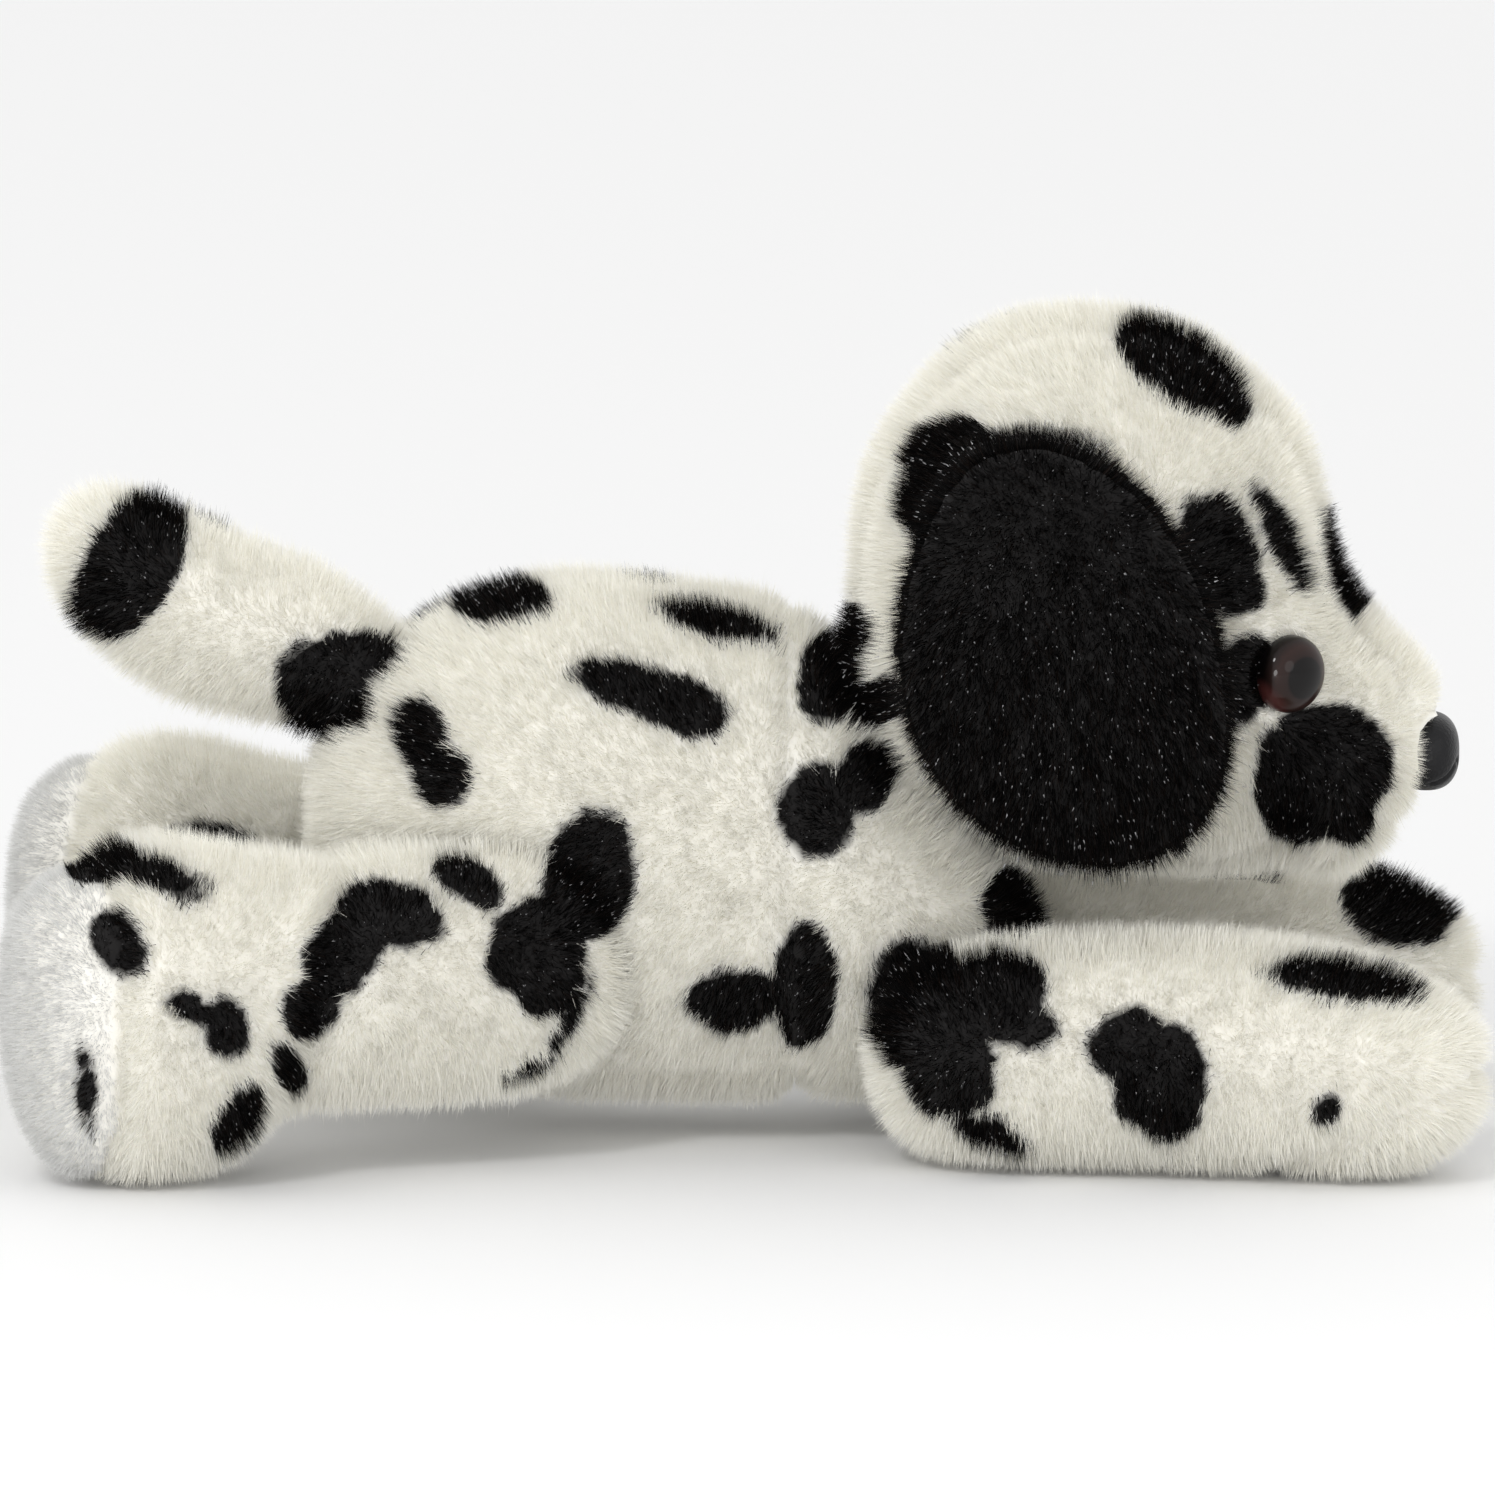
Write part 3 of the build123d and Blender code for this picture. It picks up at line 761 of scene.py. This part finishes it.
def skin_material():
    """Knitted backing seen between the fibres: printed patches, mottled, with a fine knit relief."""
    material = new_material("printed_backing", (0.7, 0.68, 0.62), 0.95)
    nodes = material.node_tree.nodes
    links = material.node_tree.links
    shader = nodes["Principled BSDF"]
    patch = nodes.new("ShaderNodeAttribute")
    patch.attribute_name = "darkness"
    edge = nodes.new("ShaderNodeMapRange")
    edge.inputs["From Min"].default_value = -0.6
    edge.inputs["From Max"].default_value = 0.6
    links.new(patch.outputs["Fac"], edge.inputs["Value"])
    coords = nodes.new("ShaderNodeTexCoord")
    mottle = nodes.new("ShaderNodeTexNoise")
    mottle.inputs["Scale"].default_value = 60.0
    mottle.inputs["Detail"].default_value = 5.0
    links.new(coords.outputs["Object"], mottle.inputs["Vector"])
    light = nodes.new("ShaderNodeMix")
    light.data_type = "RGBA"
    light.inputs["A"].default_value = (0.86, 0.84, 0.78, 1.0)
    light.inputs["B"].default_value = (0.94, 0.925, 0.88, 1.0)
    links.new(mottle.outputs["Fac"], light.inputs["Factor"])
    mix = nodes.new("ShaderNodeMix")
    mix.data_type = "RGBA"
    mix.inputs["B"].default_value = (0.010, 0.009, 0.009, 1.0)
    links.new(edge.outputs["Result"], mix.inputs["Factor"])
    links.new(light.outputs["Result"], mix.inputs["A"])
    links.new(mix.outputs["Result"], shader.inputs["Base Color"])
    knit = nodes.new("ShaderNodeTexNoise")
    knit.inputs["Scale"].default_value = 1800.0
    links.new(coords.outputs["Object"], knit.inputs["Vector"])
    bump = nodes.new("ShaderNodeBump")
    bump.inputs["Strength"].default_value = 0.4
    bump.inputs["Distance"].default_value = 0.0003
    links.new(knit.outputs["Fac"], bump.inputs["Height"])
    links.new(bump.outputs["Normal"], shader.inputs["Normal"])
    return material


LIGHT_TONES = [
    (new_material("cream_fibre", (0.935, 0.917, 0.842), 0.6), 0.62),
    (new_material("pale_fibre", (0.965, 0.956, 0.905), 0.5), 0.28),
    (new_material("shaded_fibre", (0.87, 0.845, 0.755), 0.6), 0.10),
]
BLACK_TONES = [
    (new_material("black_fibre", (0.0025, 0.0023, 0.0023), 0.6, Specular_IOR_Level=0.06), 0.84),
    (new_material("brown_black_fibre", (0.013, 0.008, 0.006), 0.5, Specular_IOR_Level=0.1), 0.13),
    # painted glint: light grey tips on a few black fibres
    (new_material("painted_glint_fibre_tip", (0.36, 0.36, 0.37), 0.3), 0.03),
]
SOLE_TONES = [
    (new_material("grey_white_fibre", (0.74, 0.74, 0.73), 0.6), 0.75),
    (new_material("grey_fibre", (0.64, 0.64, 0.63), 0.6), 0.25),
]


# ---------------------------------------------------------------- eyes and nose
def lathed(name, profile, around=64):
    """A closed turned shape from (radius, height) pairs that start and end on its axis."""
    bm = bmesh.new()
    rings = []
    for radius, height in profile:
        if radius < 1e-7:
            rings.append([bm.verts.new((0, 0, height))])
            continue
        turns = [2 * math.pi * k / around for k in range(around)]
        rings.append([bm.verts.new((radius * math.cos(t), radius * math.sin(t), height)) for t in turns])
    for low, high in zip(rings, rings[1:]):
        for k in range(around):
            corners = [low[k % len(low)], low[(k + 1) % len(low)]]
            corners += [high[(k + 1) % len(high)], high[k % len(high)]]
            bm.faces.new(dict.fromkeys(corners))
    bmesh.ops.recalc_face_normals(bm, faces=bm.faces)
    mesh = bpy.data.meshes.new(name)
    bm.to_mesh(mesh)
    bm.free()
    ob = new_object(name, mesh)
    smooth_shade(ob)
    return ob


def eye_material():
    """A clear-coated dome over a black pupil and a dark brown iris, with a painted red-brown glow at its
    lower back rim.
    """
    material = new_material("eye_dome", (0.02, 0.01, 0.01), 0.4, Coat_Weight=0.4, Coat_Roughness=0.03,
                            Specular_IOR_Level=0.05)
    nodes = material.node_tree.nodes
    links = material.node_tree.links
    coords = nodes.new("ShaderNodeTexCoord")
    flat = nodes.new("ShaderNodeVectorMath")
    flat.operation = "MULTIPLY"
    flat.inputs[1].default_value = (1.0 / EYE_RADIUS, 1.0 / EYE_RADIUS, 0.0)
    links.new(coords.outputs["Object"], flat.inputs[0])
    radius = nodes.new("ShaderNodeVectorMath")
    radius.operation = "LENGTH"
    links.new(flat.outputs["Vector"], radius.inputs[0])
    rings = nodes.new("ShaderNodeValToRGB")
    stops = [
        (0.0, (0.002, 0.0015, 0.0015)), (0.52, (0.003, 0.002, 0.002)), (0.58, (0.016, 0.008, 0.007)),
        (0.80, (0.024, 0.011, 0.009)), (0.92, (0.012, 0.006, 0.005)), (1.0, (0.002, 0.0015, 0.0015)),
    ]
    while len(rings.color_ramp.elements) < len(stops):
        rings.color_ramp.elements.new(0.5)
    for stop, (place, colour) in zip(rings.color_ramp.elements, stops):
        stop.position = place
        stop.color = (*colour, 1.0)
    links.new(radius.outputs["Value"], rings.inputs["Fac"])
    # painted glow: the iris is mixed towards red-brown at its lower back rim
    painted_glow_side = nodes.new("ShaderNodeVectorMath")
    painted_glow_side.operation = "DOT_PRODUCT"
    painted_glow_side.inputs[1].default_value = (0.75, -0.66, 0.0)
    links.new(flat.outputs["Vector"], painted_glow_side.inputs[0])
    painted_glow = nodes.new("ShaderNodeMapRange")
    painted_glow.interpolation_type = "SMOOTHSTEP"
    painted_glow.inputs["From Min"].default_value = 0.70
    painted_glow.inputs["From Max"].default_value = 0.95
    links.new(painted_glow_side.outputs["Value"], painted_glow.inputs["Value"])
    # the red-brown of the painted glow
    mix = nodes.new("ShaderNodeMix")
    mix.data_type = "RGBA"
    mix.inputs["B"].default_value = (0.055, 0.015, 0.014, 1.0)
    links.new(painted_glow.outputs["Result"], mix.inputs["Factor"])
    links.new(rings.outputs["Color"], mix.inputs["A"])
    links.new(mix.outputs["Result"], nodes["Principled BSDF"].inputs["Base Color"])
    return material


def add_eye(side, material):
    """One safety eye, seated where its washer says, with its dome facing outward."""
    sign = 1.0 if side == "left" else -1.0
    outward = Vector((EYE_OUTWARD[0], sign * EYE_OUTWARD[1], EYE_OUTWARD[2])).normalized()
    low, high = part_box(side + "_eye_washer")
    seat = (Vector(low) + Vector(high)) / 2 + outward * EYE_WASHER_BACK
    profile = [
        (0.0, -EYE_SKIRT),
        (EYE_BACK_RADIUS, -EYE_SKIRT),
        (EYE_RADIUS, -0.75 * EYE_SKIRT),
        (EYE_RADIUS, 0.0),
    ]
    steps = 14
    for k in range(1, steps + 1):
        angle = math.pi / 2 * k / steps
        profile.append((EYE_RADIUS * math.cos(angle) if k < steps else 0.0, EYE_DEPTH * math.sin(angle)))
    ob = lathed(side + "_eye_dome", profile)
    up = Vector((0, 0, 1))
    back = up.cross(outward).normalized() * sign
    true_up = outward.cross(back).normalized() * sign
    turn = Matrix((back, true_up, outward)).transposed()
    ob.matrix_world = Matrix.Translation(seat) @ turn.to_4x4()
    ob.data.materials.append(material)
    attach(ob, "head")
    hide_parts(side + "_eye", side + "_eye_washer")
    return np.array(seat)


def nose_material():
    """Black moulded plastic with a pebbled grain."""
    material = new_material("nose_plastic", (0.006, 0.006, 0.007), 0.34, Specular_IOR_Level=0.25)
    nodes = material.node_tree.nodes
    links = material.node_tree.links
    coords = nodes.new("ShaderNodeTexCoord")
    grain = nodes.new("ShaderNodeTexVoronoi")
    grain.inputs["Scale"].default_value = 2600.0
    links.new(coords.outputs["Object"], grain.inputs["Vector"])
    bump = nodes.new("ShaderNodeBump")
    bump.inputs["Strength"].default_value = 0.5
    bump.inputs["Distance"].default_value = 0.00012
    links.new(grain.outputs["Distance"], bump.inputs["Height"])
    links.new(bump.outputs["Normal"], nodes["Principled BSDF"].inputs["Normal"])
    wear = nodes.new("ShaderNodeTexNoise")
    wear.inputs["Scale"].default_value = 400.0
    links.new(coords.outputs["Object"], wear.inputs["Vector"])
    gloss = nodes.new("ShaderNodeMapRange")
    gloss.inputs["To Min"].default_value = 0.26
    gloss.inputs["To Max"].default_value = 0.46
    links.new(wear.outputs["Fac"], gloss.inputs["Value"])
    links.new(gloss.outputs["Result"], nodes["Principled BSDF"].inputs["Roughness"])
    return material


def add_nose():
    """The nose button: a wide dome with a curved nostril groove on each side of its front."""
    low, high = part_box("nose")
    half = Vector((NOSE_HALF_LENGTH, (high[1] - low[1]) / 2, (high[2] - low[2]) / 2))
    centre = Vector((high[0] - half.x, 0.0, (low[2] + high[2]) / 2))
    rows, turns = 48, 96
    bm = bmesh.new()
    grid = []
    for i in range(rows + 1):
        polar = math.pi * i / rows
        ring = []
        for j in range(turns):
            angle = 2 * math.pi * j / turns
            side = math.sin(polar)
            way = Vector((math.cos(polar), side * math.cos(angle), side * math.sin(angle)))
            ring.append(bm.verts.new(nose_point(way, half)))
        grid.append(ring)
    for low_ring, high_ring in zip(grid, grid[1:]):
        for j in range(turns):
            k = (j + 1) % turns
            bm.faces.new([low_ring[j], low_ring[k], high_ring[k], high_ring[j]])
    bmesh.ops.remove_doubles(bm, verts=bm.verts, dist=1e-7)
    bmesh.ops.recalc_face_normals(bm, faces=bm.faces)
    mesh = bpy.data.meshes.new("nose_button")
    bm.to_mesh(mesh)
    bm.free()
    ob = new_object("nose_button", mesh)
    ob.location = centre + Vector((NOSE_FORWARD, 0.0, 0.0))
    smooth_shade(ob)
    ob.data.materials.append(nose_material())
    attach(ob, "head")
    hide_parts("nose", "nose_washer")
    return np.array(centre)


def nose_point(way, half):
    """A point of the nose's surface in the given direction, from its own middle."""
    reach = sum(abs(c) ** NOSE_SQUARENESS for c in way) ** (-1.0 / NOSE_SQUARENESS)
    point = Vector((way.x * half.x, way.y * half.y, way.z * half.z)) * reach
    across = abs(way.y)
    path = GROOVE_TOP - GROOVE_CURVE * (across - GROOVE_MIDDLE) ** 2
    groove = math.exp(-((way.z - path) / GROOVE_WIDTH) ** 2)
    if way.x <= GROOVE_FRONT or not GROOVE_INNER < across < GROOVE_OUTER:
        groove = 0.0
    ends = min(1.0, (across - GROOVE_INNER) / GROOVE_FADE, (GROOVE_OUTER - across) / GROOVE_FADE)
    return point * (1.0 - GROOVE_DEPTH * groove * max(ends, 0.0))


# ---------------------------------------------------------------- stage, light and camera
def add_floor():
    """A wide, plain, pale floor just under the toy."""
    bm = bmesh.new()
    bmesh.ops.create_grid(bm, x_segments=8, y_segments=8, size=3.0)
    mesh = bpy.data.meshes.new("studio_floor")
    bm.to_mesh(mesh)
    bm.free()
    floor = new_object("studio_floor", mesh)
    floor.location.z = -0.0002
    mesh.materials.append(new_material("pale_floor", (0.9, 0.9, 0.9), 0.8))


def aim(ob, target):
    ob.rotation_euler = (Vector(target) - ob.location).to_track_quat("-Z", "Y").to_euler()


def add_area(name, place, target, size, power):
    data = bpy.data.lights.new(name, "AREA")
    data.shape = "DISK"
    data.size = size
    data.energy = power
    lamp = bpy.data.objects.new(name, data)
    bpy.context.scene.collection.objects.link(lamp)
    lamp.location = place
    aim(lamp, target)


def add_lights():
    world = bpy.data.worlds.new("studio")
    bpy.context.scene.world = world
    world.use_nodes = True
    world.node_tree.nodes["Background"].inputs["Color"].default_value = (1.0, 1.0, 1.0, 1.0)
    world.node_tree.nodes["Background"].inputs["Strength"].default_value = 0.96
    add_area("key", (-0.45, -0.9, 0.95), (0, 0, 0.05), 0.24, 3.4)
    add_area("fill", (0.7, -0.9, 0.35), (0, 0, 0.05), 0.5, 0.8)
    add_area("low_front", (-0.1, -1.1, 0.16), (0, 0, 0.03), 0.3, 2.2)


def add_camera():
    """A long lens square to the toy's right side, a little above it."""
    low, high = (np.array(corner) for corner in CAD_BOX)
    middle = (low + high) / 2
    distance = 6.0
    near_plane = 0.04
    data = bpy.data.cameras.new("camera")
    data.sensor_width = 36.0
    shown = (high[0] - low[0]) * 1.003
    data.lens = data.sensor_width * (distance - near_plane) / shown
    camera = bpy.data.objects.new("camera", data)
    bpy.context.scene.collection.objects.link(camera)
    target = Vector((middle[0], 0.0, 0.0532))
    camera.location = target + Vector((0, -distance * math.cos(VIEW_RISE), distance * math.sin(VIEW_RISE)))
    aim(camera, target)
    data.clip_start = 0.05
    data.clip_end = 20.0
    bpy.context.scene.camera = camera


# ---------------------------------------------------------------- making
add_camera()
add_lights()
add_floor()
bpy.context.scene.view_settings.view_transform = "Standard"

skins = {}
for name, panels, inner, shape, voxel, hull in FORMS:
    inset = INSETS.get(name.split("_")[-1], PILE_INSET)
    skins[name] = make_skin(name + "_skin", name, panels, inner, shape, voxel, hull, inset)

eye_look = eye_material()
buttons = [(add_eye(side, eye_look), EYE_BACK_RADIUS) for side in ("left", "right")]
buttons.append((add_nose(), NOSE_BARE_RADIUS))

patches = Patches([skins[n] for n in skins if "ear" not in n])
buried = buried_vertices(skins)
backing = skin_material()
for number, (name, panels, inner, shape, voxel, hull) in enumerate(FORMS):
    skin = skins[name]
    skin.data.materials.append(backing)
    points = points_of(skin.data)
    normals = normals_of(skin.data)
    black = "ear" in name
    darkness = np.full(len(points), 5.0) if black else patches.darkness(points, normals)
    store(skin, "darkness", darkness)
    if name != "neck":
        nap = np.array(next(way for part, way in NAPS.items() if name.endswith(part)))
        add_pile(skin, name, panels, buried[name], nap, patches, seed=101 + number,
                 buttons=buttons if name == "head" else (), all_black=black)
    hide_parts(*(panels + inner))
